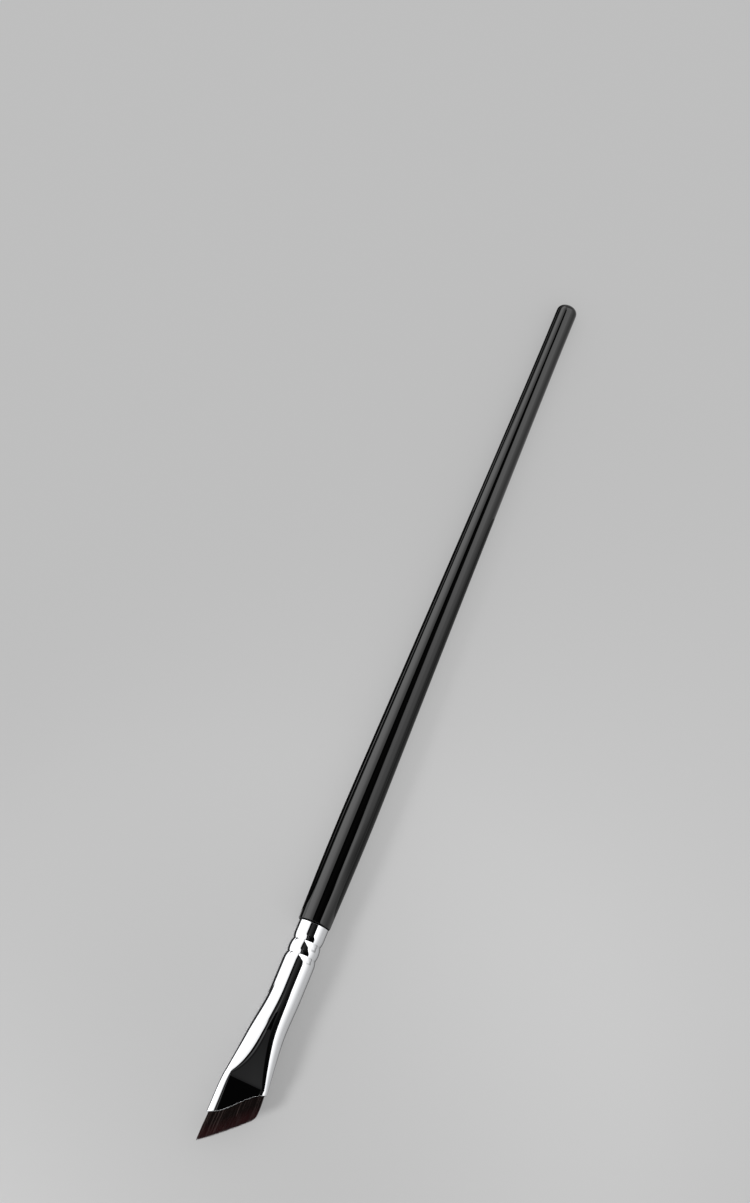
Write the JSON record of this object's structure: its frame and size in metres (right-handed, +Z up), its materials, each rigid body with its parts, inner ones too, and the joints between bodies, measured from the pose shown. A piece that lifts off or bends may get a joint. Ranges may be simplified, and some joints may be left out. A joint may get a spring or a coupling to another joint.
{
  "type": "eyeliner brush",
  "caption": "Slim eyeliner brush with a tapered black lacquered handle, a crimped bright metal ferrule pressed flat, and a flat tuft of dark bristle cut at a slant.",
  "frame": {"origin": "middle of the bottom of the bounding box, on the surface that the brush lies on", "axes": "+X along the brush from the bristle to the tail, +Y to the long side of the slanted head, +Z up; the brush lies on its belly and its tail with the flat of the head level"},
  "size_m": [0.1698, 0.0087, 0.0066],
  "materials": {
    "black_lacquer": "turned wood under gloss black lacquer",
    "ferrule_metal": "bright polished",
    "bristle": "fine dark brown nylon bristle",
    "glue": "hardened clear amber epoxy"
  },
  "bodies": {
    "root": {"handle": "black_lacquer", "ferrule": "ferrule_metal", "bristle_tuft": "bristle", "root_glue": "glue"}
  },
  "joints": []
}
